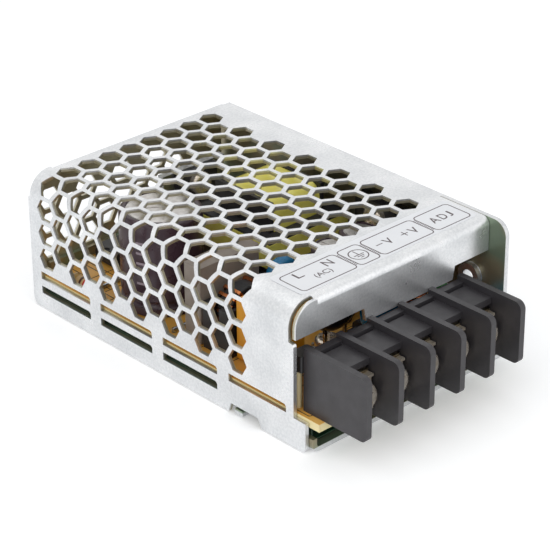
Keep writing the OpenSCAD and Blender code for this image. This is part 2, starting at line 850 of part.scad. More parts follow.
module ntc_thermistor() {
    middle = 13;
    color("#231f20") in_frame() {
        on_board(ntc_at) disc_body(ntc_d, 3, middle);
        leads(ntc_pads, middle);
    }
}

module varistor() {
    middle = 9.1;
    color("#2e86b5") in_frame() {
        on_board(varistor_at) disc_body(varistor_d, 2.6, middle);
        leads(varistor_pads, middle);
    }
}

module y_capacitor() {
    middle = 8.9;
    color("#2e86b5") in_frame() {
        on_board(y_cap_at) disc_body(7.4, 2.8, middle);
        leads(y_cap_pads, middle);
    }
}

// Moulded box of size s that stands on small feet
module box_body(s) {
    foot = 0.4;
    translate([-s.x / 2, -s.y / 2, foot]) linear_extrude(s.z - foot) round_rect(s.x, s.y, 0.4);
    for (x = [-1, 1], y = [-1, 1])
        translate([x * (s.x / 2 - 0.8), y * (s.y / 2 - 0.8), 0])
            cylinder(r = 0.5, h = foot + 0.2, $fn = 24);
}

module x_capacitor() {
    color("#f0a828") in_frame() {
        on_board(x_cap_at) box_body([5.4, 12.6, 12.4]);
        leads(x_cap_pads, 1);
    }
}

module film_capacitor() {
    color("#b9a99d") in_frame() {
        on_board(film_at) box_body([15, 4.4, 15.9]);
        leads(film_pads, 1);
    }
}

// Open plastic tray that the choke's ring stands in
module choke_holder() {
    tray = [13.6, 6.8, 9.6];
    wall = 0.8;
    color(black_plastic) in_frame() {
        on_board(choke_at) translate([-tray.x / 2, -tray.y / 2, 0]) difference() {
            cube(tray);
            translate([wall, wall, wall]) cube([tray.x - 2 * wall, tray.y - 2 * wall, tray.z]);
            translate([-over, tray.y / 2 - 1, tray.z - 4]) cube([tray.x + 2 * over, 2, tray.z]);
        }
        leads(choke_pads, 0.4);
    }
}

choke_d = 10.4;
choke_hole_d = 5.6;
choke_t = 3.4;
// The ring stands on the tray's floor, a turn of wire above it
choke_h = 1.6 + choke_d / 2;

module choke_core() {
    color("#2a2826") in_frame() on_board(choke_at) translate([0, 0, choke_h]) rotate([90, 0, 0])
        rotate_extrude() translate([choke_hole_d / 2, -choke_t / 2])
            round_rect((choke_d - choke_hole_d) / 2, choke_t, 0.4);
}

// One turn of wire round the ring, as a flat rounded loop
module choke_turn() {
    wire = 0.6;
    w = (choke_d - choke_hole_d) / 2 + 0.1;
    h = choke_t + 0.1;
    translate([choke_hole_d / 2 - 0.05, 0, 0]) rotate([90, 0, 0]) linear_extrude(wire, center = true)
        translate([0, -h / 2]) difference() {
            translate([-wire, -wire]) round_rect(w + 2 * wire, h + 2 * wire, wire);
            square([w, h]);
        }
}

module choke_windings() {
    color("#c07848") in_frame() on_board(choke_at) translate([0, 0, choke_h]) rotate([90, 0, 0])
        for (side = [0, 180], a = [-62:15.5:62]) rotate([0, 0, side + a]) choke_turn();
}

// Legs of a dual in-line part: down from the shoulder at height z on each long side
module dual_legs(pins, z) {
    for (p = pins) {
        translate([p.x - 0.5, min(p.y, 1), z - 0.3]) cube([1, abs(p.y) - 1, 0.3]);
        translate([p.x - 0.5, p.y - 0.3, 0.4]) cube([1, 0.6, z - 0.4]);
    }
}

module bridge_rectifier() {
    color(black_plastic) in_frame() {
        on_board(bridge_at) {
            translate([-4.6, -2.9, 0.6]) linear_extrude(3.4) round_rect(9.2, 5.8, 0.4);
            dual_legs(bridge_pins, 2);
        }
        leads(bridge_pads, 0.5);
    }
}

// ---- Capacitor cans ----

// Sleeved can of diameter d and height h: a crimp near its foot, a rounded shoulder and a
// shallow recess that leaves the bare top inside the sleeve's rim
module can(d, h, rim) {
    shoulder = 0.8;
    translate([0, 0, 0.2]) rotate_extrude() difference() {
        union() {
            square([d / 2 - shoulder, h]);
            square([d / 2, h - shoulder]);
            translate([d / 2 - shoulder, h - shoulder]) circle(shoulder);
        }
        translate([0, h - 0.3]) square([d / 2 - rim, over]);
        translate([d / 2 + 0.35, 2.4]) circle(0.9);
        translate([-2 * shoulder, -over]) square([2 * shoulder, h + 2 * over]);
    }
}

module bulk_capacitor() {
    color("#3a2c33") in_frame() {
        on_board(bulk_at) can(bulk_d, bulk_h, 1.3);
        leads(bulk_pads, 0.5);
    }
}

module output_capacitors() {
    color("#4a2c36") in_frame() {
        for (p = out_cap_at) on_board(p) can(out_cap_d, out_cap_h, 0.9);
        leads(out_cap_pads, 0.5);
    }
}

module auxiliary_capacitors() {
    color("#3a2c33") in_frame() {
        for (p = aux_cap_at) on_board(p) can(5, 10, 0.7);
        leads(aux_cap_pads, 0.5);
    }
}

// ---- Transformer ----

yoke = 3;
leg_w = 6;
window_l = core_l - 2 * yoke;
tube_w = leg_w + 1.8;
coil_flange = 0.9;
flange_w = core_w - 2 * yoke - 0.4;
coil_w = flange_w - 0.3;
flange_gap = 0.2;

// Places its children at the middle of the transformer's core
module at_core() {
    on_board(xfmr_at) translate([0, 0, core_h]) children();
}

// One half of the core, an E lying on its side with its back to the left
module e_core() {
    translate([0, -core_w / 2]) square([yoke, core_w]);
    for (y = [-core_w / 2, core_w / 2 - yoke]) translate([0, y]) square([core_l / 2, yoke]);
    translate([0, -leg_w / 2]) square([core_l / 2, leg_w]);
}

module transformer_core() {
    color("#2b2b2d") in_frame() at_core() for (side = [0, 1])
        mirror([side, 0, 0]) translate([-core_l / 2, 0, -core_t / 2]) linear_extrude(core_t) e_core();
}

module transformer_bobbin() {
    hole = leg_w + 0.2;
    rail_l = core_w - 2;
    rail_top = -core_t / 2 - 0.3;
    rail_low = flange_gap - core_h;
    join_h = 3;
    color("#1f1f20") in_frame() {
        at_core() difference() {
            union() {
                cube([window_l - 2 * flange_gap, tube_w, core_t + 1.8], center = true);
                for (side = [-1, 1]) {
                    translate([side * (window_l / 2 - flange_gap - coil_flange / 2), 0, 0])
                        cube([coil_flange, flange_w, coil_h + 0.5], center = true);
                    // The pin rail lies under the core's back, joined to the flange beside it
                    translate([side * (core_l - rail_w) / 2, 0, (rail_top + rail_low) / 2])
                        cube([rail_w, rail_l, rail_top - rail_low], center = true);
                    translate([side * (window_l / 2 + 0.3), 0, rail_top - join_h / 2])
                        cube([2.8, flange_w, join_h], center = true);
                }
            }
            cube([core_l, hole, core_t + 0.2], center = true);
        }
        leads(xfmr_pads, 1);
    }
}

// Coil between the bobbin's flanges, closed with adhesive tape
module transformer_winding() {
    length = window_l - 2 * flange_gap - 2 * coil_flange - 0.1;
    color("#e8e070") in_frame() at_core() along_x(-length / 2, length / 2) difference() {
        translate([-coil_w / 2, -coil_h / 2]) round_rect(coil_w, coil_h, 2.6);
        square([tube_w + 0.1, core_t + 1.9], center = true);
    }
}

// Tape that holds the core's halves together
module core_tape() {
    tape = 0.15;
    band = 5;
    color("#d8cf50") in_frame() at_core() translate([0, 0, -band / 2]) linear_extrude(band) difference() {
        square([core_l + 2 * tape, core_w + 2 * tape], center = true);
        square([core_l, core_w], center = true);
    }
}

// ---- Power semiconductors ----

package_lift = 2.2;
package_hole_h = package_lift + 12.2;
// How far the back of a package's tab lies behind the middle of its place
package_back = 1.5;

// Power transistor outline standing on its leads, facing -Y, its tab's back at y = 0
module power_package() {
    body_w = 10;
    translate([-body_w / 2, -1.3, package_lift]) difference() {
        cube([body_w, 1.3, 15]);
        translate([body_w / 2, -over, package_hole_h - package_lift]) rotate([-90, 0, 0])
            cylinder(r = 1.8, h = 1.3 + 2 * over);
    }
    translate([-body_w / 2, -4.4, package_lift]) cube([body_w, 3.2, 9]);
    for (i = [-1:1])
        translate([i * pin_step - 0.6, -package_back - package_leg_y - 0.3, package_lift - 2])
            cube([1.2, 0.6, 2.5]);
}

module switching_transistor() {
    color(black_plastic) in_frame() {
        on_board(transistor_at) translate([0, package_back, 0]) power_package();
        leads(transistor_pads, 0.4);
    }
}

module output_rectifier() {
    color(black_plastic) in_frame() {
        on_board(rectifier_at, -90) translate([0, package_back, 0]) power_package();
        leads(rectifier_pads, 0.4);
    }
}

// Upright plate with a foot, behind a power package that faces -Y
module heatsink_plate(w) {
    thick = 1.5;
    difference() {
        union() {
            translate([-w / 2, 0, 0]) cube([w, thick, 17.5]);
            translate([-w / 2, 0, 0]) cube([w, 2.8, thick]);
        }
        translate([0, -over, package_hole_h]) rotate([-90, 0, 0])
            cylinder(r = thread_r, h = thick + 2 * over);
    }
}

module transistor_heatsink() {
    color("#a9abad") in_frame() on_board(transistor_at)
        translate([0, package_back, 0]) heatsink_plate(16);
}

module rectifier_heatsink() {
    color("#232324") in_frame() on_board(rectifier_at, -90)
        translate([0, package_back, 0]) heatsink_plate(14);
}

// Screws through the packages' tabs into their heatsinks
module heatsink_screws() {
    module screw() {
        translate([0, package_back - 1.3, package_hole_h]) rotate([90, 0, 0]) difference() {
            union() {
                pan_head(2.4, 1.6);
                translate([0, 0, -2.6]) cylinder(r = thread_r - run_gap, h = 2.6);
            }
            cross_recess(2.8, 0.9, 1.6);
        }
    }
    color(nickel) in_frame() {
        on_board(transistor_at) screw();
        on_board(rectifier_at, -90) screw();
    }
}

// ---- Output side and small parts ----

// Ferrite drum of the output filter inductor
module inductor_core() {
    color("#2c2c2e") in_frame() {
        on_board(inductor_at) translate([0, 0, 0.3]) {
            cylinder(r = 4, h = 1.2);
            cylinder(r = 2, h = 9.5);
            translate([0, 0, 8.3]) cylinder(r = 4, h = 1.2);
        }
        leads(inductor_pads, 0.5);
    }
}

module inductor_winding() {
    turns = 8;
    color("#b5703f") in_frame() on_board(inductor_at) translate([0, 0, 1.6]) difference() {
        for (i = [0:turns - 1]) translate([0, 0, (i + 0.5) * 0.8]) rotate_extrude() {
            translate([3, 0]) circle(0.42, $fn = 24);
            translate([2.2, -0.4]) square([0.8, 0.8]);
        }
        translate([0, 0, -over]) cylinder(r = 2.05, h = 9);
    }
}

// Dual in-line body of size s with a notch at its first pin's end
module dual_body(pins, s) {
    lift = 0.5;
    difference() {
        translate([-s.x / 2, -s.y / 2, lift]) cube(s);
        translate([-s.x / 2, 0, lift + s.z]) cylinder(r = 0.8, h = 0.6, center = true);
    }
    dual_legs(pins, 2.2);
}

module optocoupler() {
    color("#e6e6e2") in_frame() {
        on_board(opto_at) dual_body(opto_pins, [4.8, 6.4, 3.2]);
        leads(opto_pads, 0.5);
    }
}

module control_chip() {
    color(black_plastic) in_frame() {
        on_board(chip_at) dual_body(chip_pins, [9.6, 6.4, 3.2]);
        leads(chip_pads, 0.5);
    }
}

// Body of radius r and length l lying along Y on the board, between its two bent leads
module axial_body(r, l) {
    wire_l = axial_span + 2 * lead_r;
    translate([0, 0, r + 0.1]) rotate([-90, 0, 0]) {
        cylinder(r = r, h = l, center = true);
        cylinder(r = lead_r, h = wire_l, center = true);
    }
}

module resistors() {
    r = 1.15;
    color("#d9b98a") in_frame() {
        for (p = resistor_at) on_board(p) difference() {
            axial_body(r, 6.4);
            for (y = [-2, 2]) translate([0, y, r + 0.1]) rotate([90, 0, 0]) difference() {
                cylinder(r = 2, h = 1.4, center = true);
                cylinder(r = 1, h = 2, center = true);
            }
        }
        leads(resistor_pads, r + 0.1);
    }
}

module diodes() {
    r = 1.35;
    color(black_plastic) in_frame() {
        for (p = diode_at) on_board(p, 90) axial_body(r, 5.2);
        leads(diode_pads, r + 0.1);
    }
}

module jumper_wires() {
    color(tin) in_frame() {
        for (p = jumper_at) on_board(p, 90) axial_body(lead_r, 2);
        leads(jumper_pads, lead_r + 0.1);
    }
}

// Green lens with a collar, on two long leads
module status_led() {
    collar_z = 7.4;
    lens_r = 1.5;
    color("#3f9a4a") in_frame() {
        on_board(led_at) translate([0, 0, collar_z]) {
            cylinder(r = 1.9, h = 0.9);
            cylinder(r = lens_r, h = 2.8);
            translate([0, 0, 2.8]) rotate_extrude() intersection() {
                circle(lens_r);
                square(lens_r);
            }
        }
        leads(led_pads, collar_z + 0.1);
    }
}

trimmer_size = [6.4, 4.6, 6.8];
trimmer_axis_h = 3.4;
rotor_r = 2.1;

// Box of the output voltage trimmer, with a well for its rotor in the front face
module trimmer_body() {
    color("#2f6fae") in_frame() {
        on_board(trimmer_at) difference() {
            translate([-trimmer_size.x / 2, -trimmer_size.y / 2, 0]) cube(trimmer_size);
            translate([0, -trimmer_size.y / 2 - over, trimmer_axis_h]) rotate([-90, 0, 0])
                cylinder(r = rotor_r + run_gap, h = over + 1.5);
        }
        leads(trimmer_pads, 0.3);
    }
}

module trimmer_rotor() {
    color("#f2f2ee") in_frame() on_board(trimmer_at)
        translate([0, 1.4 - trimmer_size.y / 2, trimmer_axis_h]) rotate([90, 0, 0]) difference() {
            cylinder(r = rotor_r, h = 1.9);
            for (a = [0, 90]) rotate([0, 0, a]) translate([-1.5, -0.3, 1.2]) cube([3, 0.6, over]);
        }
}

base_chassis();
mesh_cover();
cover_screws();
insulation_sheet();
board_standoffs();
circuit_board();
board_screws();
board_washers();
solder_joints();
terminal_block();
terminal_contacts();
clamp_plate(1);  // terminal_clamp_1
clamp_plate(2);  // terminal_clamp_2
clamp_plate(3);  // terminal_clamp_3
clamp_plate(4);  // terminal_clamp_4
clamp_plate(5);  // terminal_clamp_5
terminal_screw(1);  // terminal_screw_1
terminal_screw(2);  // terminal_screw_2
terminal_screw(3);  // terminal_screw_3
terminal_screw(4);  // terminal_screw_4
terminal_screw(5);  // terminal_screw_5
input_fuse();
ntc_thermistor();
varistor();
x_capacitor();
film_capacitor();
choke_holder();
choke_core();
choke_windings();
y_capacitor();
bridge_rectifier();
bulk_capacitor();
transistor_heatsink();
switching_transistor();
control_chip();
transformer_core();
transformer_bobbin();
transformer_winding();
core_tape();
rectifier_heatsink();
output_rectifier();
heatsink_screws();
output_capacitors();
inductor_core();
inductor_winding();
optocoupler();
auxiliary_capacitors();
resistors();
diodes();
jumper_wires();
status_led();
trimmer_body();
trimmer_rotor();
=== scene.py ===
import math
import bmesh
import bpy
from mathutils import Matrix, Vector


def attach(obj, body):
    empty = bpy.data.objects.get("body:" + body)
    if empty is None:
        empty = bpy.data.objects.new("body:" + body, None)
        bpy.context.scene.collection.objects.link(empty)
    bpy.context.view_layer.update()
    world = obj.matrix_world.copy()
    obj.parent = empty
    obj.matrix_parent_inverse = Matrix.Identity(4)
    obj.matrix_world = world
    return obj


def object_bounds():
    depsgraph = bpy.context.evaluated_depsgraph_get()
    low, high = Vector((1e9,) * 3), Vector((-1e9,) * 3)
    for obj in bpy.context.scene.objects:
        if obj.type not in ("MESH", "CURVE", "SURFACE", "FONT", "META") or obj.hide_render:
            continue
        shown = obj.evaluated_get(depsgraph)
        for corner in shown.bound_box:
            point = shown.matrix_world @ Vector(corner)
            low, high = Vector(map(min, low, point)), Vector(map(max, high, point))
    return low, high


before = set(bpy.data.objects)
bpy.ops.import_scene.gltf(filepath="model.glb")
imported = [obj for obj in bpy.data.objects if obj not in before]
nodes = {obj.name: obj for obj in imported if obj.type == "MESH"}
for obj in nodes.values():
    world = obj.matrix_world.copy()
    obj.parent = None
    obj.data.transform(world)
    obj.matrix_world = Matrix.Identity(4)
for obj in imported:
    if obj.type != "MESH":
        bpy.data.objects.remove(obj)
cad_low, cad_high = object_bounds()


# ---- Camera ----
# A long lens looks down on the front left corner of the supply, over the mesh top. It stands
# less than half a metre away, so that the case's edges draw together only a little.
azimuth, elevation, roll = (math.radians(a) for a in (-43.08, 27.92, -0.34))
eye = (-0.25866, -0.27982, 0.21352)
back = Vector((
    math.sin(azimuth) * math.cos(elevation),
    -math.cos(azimuth) * math.cos(elevation),
    math.sin(elevation),
))
level = Vector((0, 0, 1)).cross(back).normalized()
upright = back.cross(level)
across = math.cos(roll) * level + math.sin(roll) * upright
along = math.cos(roll) * upright - math.sin(roll) * level
camera_data = bpy.data.cameras.new("camera")
camera_data.lens = 148.04
camera_data.sensor_width = 36
camera_data.clip_start = 0.01
camera_data.clip_end = 20
camera = bpy.data.objects.new("camera", camera_data)
camera.matrix_world = Matrix.Translation(eye) @ Matrix((across, along, back)).transposed().to_4x4()
bpy.context.scene.collection.objects.link(camera)
bpy.context.scene.camera = camera
bpy.context.scene.view_settings.view_transform = "Standard"


# ---- Studio ----
# A white paper table in a pale room, under wide soft lamps: one overhead, one to the left, one in
# front, and a faint one behind. To the camera the room and the table are plain white, by
# themselves and in metal and glass, and the table keeps the supply's shadow.
TABLE_HALF = 3
TABLE_GAP = 0.0002


def colour(code):
    """sRGB hex code to linear red, green, blue and alpha."""
    parts = [int(code[i:i + 2], 16) / 255 for i in (1, 3, 5)]
    return [p / 12.92 if p <= 0.04045 else ((p + 0.055) / 1.055) ** 2.4 for p in parts] + [1.0]


def add(tree, kind, inputs=None, **settings):
    """Adds a node to the tree, sets it up, and sets or links its inputs."""
    made = tree.nodes.new(kind)
    for key, value in settings.items():
        setattr(made, key, value)
    for key, value in (inputs or {}).items():
        if isinstance(value, bpy.types.NodeSocket):
            tree.links.new(value, made.inputs[key])
        else:
            made.inputs[key].default_value = value
    return made


def seen_plainly(tree):
    """1 for what the camera sees, directly or in metal and glass, and 0 for what only lights."""
    rays = add(tree, "ShaderNodeLightPath").outputs
    through = add(tree, "ShaderNodeMath",
                  {0: rays["Is Camera Ray"], 1: rays["Is Transmission Ray"]},
                  operation="MAXIMUM").outputs[0]
    return add(tree, "ShaderNodeMath", {0: through, 1: rays["Is Glossy Ray"]},
               operation="MAXIMUM").outputs[0]


world = bpy.data.worlds.new("studio")
world.use_nodes = True
tree = world.node_tree
tree.nodes.clear()
room = add(tree, "ShaderNodeBackground", {"Color": colour("#f2f4f6"), "Strength": 0.70})
white = add(tree, "ShaderNodeBackground", {"Color": (1, 1, 1, 1), "Strength": 1.0})
sky = add(tree, "ShaderNodeMixShader",
          {0: seen_plainly(tree), 1: room.outputs[0], 2: white.outputs[0]})
add(tree, "ShaderNodeOutputWorld", {"Surface": sky.outputs[0]})
bpy.context.scene.world = world

shape = bmesh.new()
bmesh.ops.create_grid(shape, x_segments=1, y_segments=1, size=TABLE_HALF)
bmesh.ops.translate(shape, verts=shape.verts, vec=(0, 0, cad_low.z - TABLE_GAP))
floor_mesh = bpy.data.meshes.new("floor")
shape.to_mesh(floor_mesh)
shape.free()
floor = bpy.data.objects.new("floor", floor_mesh)
bpy.context.scene.collection.objects.link(floor)
# Matt white paper. A weak glow of its own carries it to plain white around the shadow.
paper = bpy.data.materials.new("white_table")
paper.use_nodes = True
tree = paper.node_tree
tree.nodes.clear()
matt = add(tree, "ShaderNodeBsdfDiffuse", {"Color": colour("#f4f4f4")})
glow = add(tree, "ShaderNodeEmission", {"Color": (1, 1, 1, 1), "Strength": 0.22})
lit = add(tree, "ShaderNodeAddShader", {0: matt.outputs[0], 1: glow.outputs[0]})
table = add(tree, "ShaderNodeMixShader",
            {0: seen_plainly(tree), 1: matt.outputs[0], 2: lit.outputs[0]})
add(tree, "ShaderNodeOutputMaterial", {"Surface": table.outputs[0]})
floor_mesh.materials.append(paper)

# Each lamp's place and width are in metres, and its power in watts. All face the supply.
for name, place, width, power in (
        ("lamp_over", (-0.08, 0.02, 0.75), 1.10, 1.6),
        ("lamp_behind", (0.55, 0.60, 0.48), 0.90, 0.1),
        ("lamp_left", (-0.75, -0.15, 0.30), 1.00, 2.7),
        ("lamp_front", (0.12, -0.80, 0.32), 0.90, 2.2)):
    lamp_data = bpy.data.lights.new(name, "AREA")
    lamp_data.size = width
    lamp_data.energy = power
    lamp = bpy.data.objects.new(name, lamp_data)
    lamp.location = place
    lamp.rotation_euler = Vector(place).to_track_quat("Z", "Y").to_euler()
    bpy.context.scene.collection.objects.link(lamp)


# ---- Mesh cover ----
# One blank of zinc-plated steel sheet, punched with hexagons and folded on a brake. The plating
# gives a satin grey with soft clouds. Each hole has a bright land under the outer face and a dull
# torn edge below it. The inner face is painted straw, as a painted reflection of the amber board.
MM = 0.001
WIDTH, LENGTH, TOP = 51, 78, 28.0
SHEET = 0.8
LAND = 0.28
LARGE_FOLD = 4.8
SMALL_FOLD = 1.6
FLANGE_Y = 4


def start(name):
    """A material with its node tree, its shader and its coordinates in millimetres."""
    made = bpy.data.materials.new(name)
    made.use_nodes = True
    tree = made.node_tree
    place = add(tree, "ShaderNodeTexCoord").outputs["Object"]
    mm = add(tree, "ShaderNodeMapping",
             {"Vector": place, "Scale": (1 / MM, 1 / MM, 1 / MM)}).outputs[0]
    return made, tree, tree.nodes["Principled BSDF"], mm


def blend_colours(tree, share, first, second):
    """Mixes two colours, given as hex codes or sockets, by a share."""
    made = add(tree, "ShaderNodeMix", {"Factor": share}, data_type="RGBA")
    for key, value in ((6, first), (7, second)):
        if isinstance(value, str):
            made.inputs[key].default_value = colour(value)
        else:
            tree.links.new(value, made.inputs[key])
    return made.outputs[2]


def spread(tree, value, low, high, out_low, out_high):
    """Stretches a value between two limits to a new range."""
    return add(tree, "ShaderNodeMapRange", {
        "Value": value, "From Min": low, "From Max": high,
        "To Min": out_low, "To Max": out_high}).outputs[0]


def past(tree, value, sign, edge):
    """How far a coordinate lies past an edge, in the direction of the sign."""
    return add(tree, "ShaderNodeMath", {0: value, 1: sign, 2: -sign * edge},
               operation="MULTIPLY_ADD").outputs[0]


def depth_in(tree, first, second, radius):
    """Depth below a folded surface: two distances past the fold's axis, and the fold's radius."""
    beyond = [add(tree, "ShaderNodeMath", {0: way, 1: 0.0}, operation="MAXIMUM").outputs[0]
              for way in (first, second)]
    corner = add(tree, "ShaderNodeCombineXYZ", {0: beyond[0], 1: beyond[1]}).outputs[0]
    reach = add(tree, "ShaderNodeVectorMath", {0: corner}, operation="LENGTH").outputs["Value"]
    return add(tree, "ShaderNodeMath", {0: radius, 1: reach}, operation="SUBTRACT").outputs[0]


def plated_sheet(name, light, dark, roughness, grain):
    """Zinc plating: clouds 7 mm across and a mottle of crystals 0.5 mm across.

    The rolling marks are stretched by the grain, and drawn coarser than real ones so that they
    show. A little oxide takes some of the metal's shine."""
    made, tree, shader, mm = start(name)
    cloud = add(tree, "ShaderNodeTexNoise",
                {"Vector": mm, "Scale": 1 / 7, "Detail": 3}).outputs[0]
    mottle = add(tree, "ShaderNodeTexNoise",
                 {"Vector": mm, "Scale": 1 / 0.5, "Detail": 2, "Roughness": 0.6}).outputs[0]
    mixed = add(tree, "ShaderNodeMath", {0: cloud, 1: mottle}, operation="ADD").outputs[0]
    plating = blend_colours(tree, spread(tree, mixed, 0.75, 1.25, 0, 1), dark, light)
    shader.inputs["Metallic"].default_value = 0.86
    gloss = spread(tree, cloud, 0.35, 0.65, roughness + 0.04, roughness - 0.03)
    marks = add(tree, "ShaderNodeMapping", {"Vector": mm, "Scale": grain}).outputs[0]
    fine = add(tree, "ShaderNodeTexNoise",
               {"Vector": marks, "Scale": 1 / 0.5, "Detail": 0}).outputs[0]
    bump = add(tree, "ShaderNodeBump", {"Height": fine, "Strength": 0.03, "Distance": 0.0002})
    tree.links.new(bump.outputs[0], shader.inputs["Normal"])
    return made, tree, shader, mm, plating, gloss


def dress(node, material):
    """Gives a CAD node its finish."""
    nodes[node].data.materials.clear()
    nodes[node].data.materials.append(material)


made, tree, shader, mm, plating, gloss = plated_sheet(
    "zinc_plated_steel", "#e6e7e8", "#cfd1d3", roughness=0.30, grain=(1, 0.25, 1))
at = add(tree, "ShaderNodeSeparateXYZ", {0: mm}).outputs
left = depth_in(tree, past(tree, at[0], -1, LARGE_FOLD - WIDTH / 2),
                past(tree, at[2], 1, TOP - LARGE_FOLD), LARGE_FOLD)
front = depth_in(tree, past(tree, at[1], -1, SMALL_FOLD - (LENGTH / 2 - FLANGE_Y)),
                 past(tree, at[2], 1, TOP - SMALL_FOLD), SMALL_FOLD)
rear = depth_in(tree, past(tree, at[1], 1, LENGTH / 2 - SMALL_FOLD),
                past(tree, at[2], 1, TOP - SMALL_FOLD), SMALL_FOLD)
ends = add(tree, "ShaderNodeMath", {0: front, 1: rear}, operation="MINIMUM").outputs[0]
depth = add(tree, "ShaderNodeMath", {0: left, 1: ends}, operation="MINIMUM").outputs[0]
torn = spread(tree, depth, LAND, LAND + 0.08, 0, 1)
# The straw on the inner face is a painted reflection of the amber board under the cover.
inner = spread(tree, depth, SHEET - 0.03, SHEET - 0.01, 0, 1)
hole_wall = blend_colours(tree, torn, plating, "#b3ad98")
tree.links.new(blend_colours(tree, inner, hole_wall, "#d6cfb0"), shader.inputs["Base Color"])
duller = add(tree, "ShaderNodeMath", {0: torn, 1: 0.12, 2: gloss}, operation="MULTIPLY_ADD")
tree.links.new(duller.outputs[0], shader.inputs["Roughness"])
dress("mesh_cover", made)


# ---- Terminal label ----
# A thin white polyester sticker on the front of the top. It carries frames in dark brown ink with
# the usual terminal marks: line, neutral, earth, the two output poles and the trimmer.
STICKER = 0.06
INK = 0.012
LINE = 0.21
CORNER = 1.0
FRAMES_Y = (6.75, 13.6)
RUNGS, RUNG_PITCH = 12, 0.43
RUNG_Y = (7.7, 7.84)


def shift(x, y, z=0):
    """Case millimetres, from the front left corner of its foot, to a place in the frame."""
    return Vector(((x - WIDTH / 2) * MM, (y - LENGTH / 2) * MM, z * MM))


def thicken(shape, faces, height):
    """Raises flat faces into closed plates."""
    raised = bmesh.ops.extrude_face_region(shape, geom=faces)["geom"]
    bmesh.ops.translate(shape, verts=[v for v in raised if isinstance(v, bmesh.types.BMVert)],
                        vec=(0, 0, height * MM))
    bmesh.ops.recalc_face_normals(shape, faces=shape.faces)


def finish_piece(name, shape, material, body):
    """Makes an object of a mesh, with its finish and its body."""
    mesh = bpy.data.meshes.new(name)
    shape.to_mesh(mesh)
    shape.free()
    mesh.materials.append(material)
    piece = bpy.data.objects.new(name, mesh)
    bpy.context.scene.collection.objects.link(piece)
    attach(piece, body)


def plate_face(x0, x1, y0, y1, z, corner):
    """A mesh of one flat face with rounded corners."""
    shape = bmesh.new()
    bmesh.ops.create_grid(shape, x_segments=1, y_segments=1, size=0.5)
    bmesh.ops.scale(shape, verts=shape.verts, vec=((x1 - x0) * MM, (y1 - y0) * MM, 1))
    bmesh.ops.translate(shape, verts=shape.verts, vec=shift((x0 + x1) / 2, (y0 + y1) / 2, z))
    bmesh.ops.bevel(shape, geom=shape.verts[:], offset=corner * MM, offset_type="OFFSET",
                    segments=6, profile=0.5, affect="VERTICES", material=-1)
    return shape


def join(target, source):
    """Copies one mesh into another."""
    mesh = bpy.data.meshes.new("part")
    source.to_mesh(mesh)
    source.free()
    target.from_mesh(mesh)
    bpy.data.meshes.remove(mesh)


def outline_only(shape, line, height):
    """Leaves a closed raised line of a given width along the edge of a flat face."""
    middle = list(shape.faces)
    bmesh.ops.inset_region(shape, faces=middle, thickness=line * MM, use_even_offset=True,
                           use_boundary=True)
    bmesh.ops.delete(shape, geom=middle, context="FACES")
    thicken(shape, list(shape.faces), height)
    return shape


def bar_plate(x0, x1, y0, y1, z, height):
    """A closed straight stroke."""
    shape = bmesh.new()
    bmesh.ops.create_cube(shape, size=1)
    bmesh.ops.scale(shape, verts=shape.verts,
                    vec=((x1 - x0) * MM, (y1 - y0) * MM, height * MM))
    bmesh.ops.translate(shape, verts=shape.verts,
                        vec=shift((x0 + x1) / 2, (y0 + y1) / 2, z + height / 2))
    return shape


def letters(text, x0, x1, y0, y1, z):
    """Thin letters that fill a box, as a closed mesh."""
    curve = bpy.data.curves.new("letters", "FONT")
    curve.body = text
    curve.size = 1
    curve.offset = 0.004
    curve.extrude = 0.01
    curve.resolution_u = 4
    holder = bpy.data.objects.new("letters", curve)
    mesh = bpy.data.meshes.new_from_object(holder)
    shape = bmesh.new()
    shape.from_mesh(mesh)
    bmesh.ops.remove_doubles(shape, verts=shape.verts, dist=1e-5)
    bmesh.ops.recalc_face_normals(shape, faces=shape.faces)
    low = [min(v.co[i] for v in shape.verts) for i in range(3)]
    high = [max(v.co[i] for v in shape.verts) for i in range(3)]
    size = [box / (high[i] - low[i]) for i, box in enumerate((x1 - x0, y1 - y0, INK))]
    bmesh.ops.translate(shape, verts=shape.verts, vec=[-a for a in low])
    bmesh.ops.scale(shape, verts=shape.verts, vec=[s * MM for s in size])
    bmesh.ops.translate(shape, verts=shape.verts, vec=shift(x0, y0, z))
    bpy.data.objects.remove(holder)
    bpy.data.curves.remove(curve)
    bpy.data.meshes.remove(mesh)
    return shape


# White film with a soft sheen, barely clouded.
sticker = plate_face(4.2, 49.2, 6.2, 14.8, TOP, CORNER)
thicken(sticker, list(sticker.faces), STICKER)
made, tree, shader, mm = start("white_polyester_film")
cloud = add(tree, "ShaderNodeTexNoise", {"Vector": mm, "Scale": 1 / 4.0, "Detail": 3}).outputs[0]
tree.links.new(blend_colours(tree, cloud, "#e0e1e4", "#e8e9eb"), shader.inputs["Base Color"])
tree.links.new(spread(tree, cloud, 0.3, 0.7, 0.46, 0.54), shader.inputs["Roughness"])
shader.inputs["IOR"].default_value = 1.5
finish_piece("terminal_label", sticker, made, "case")

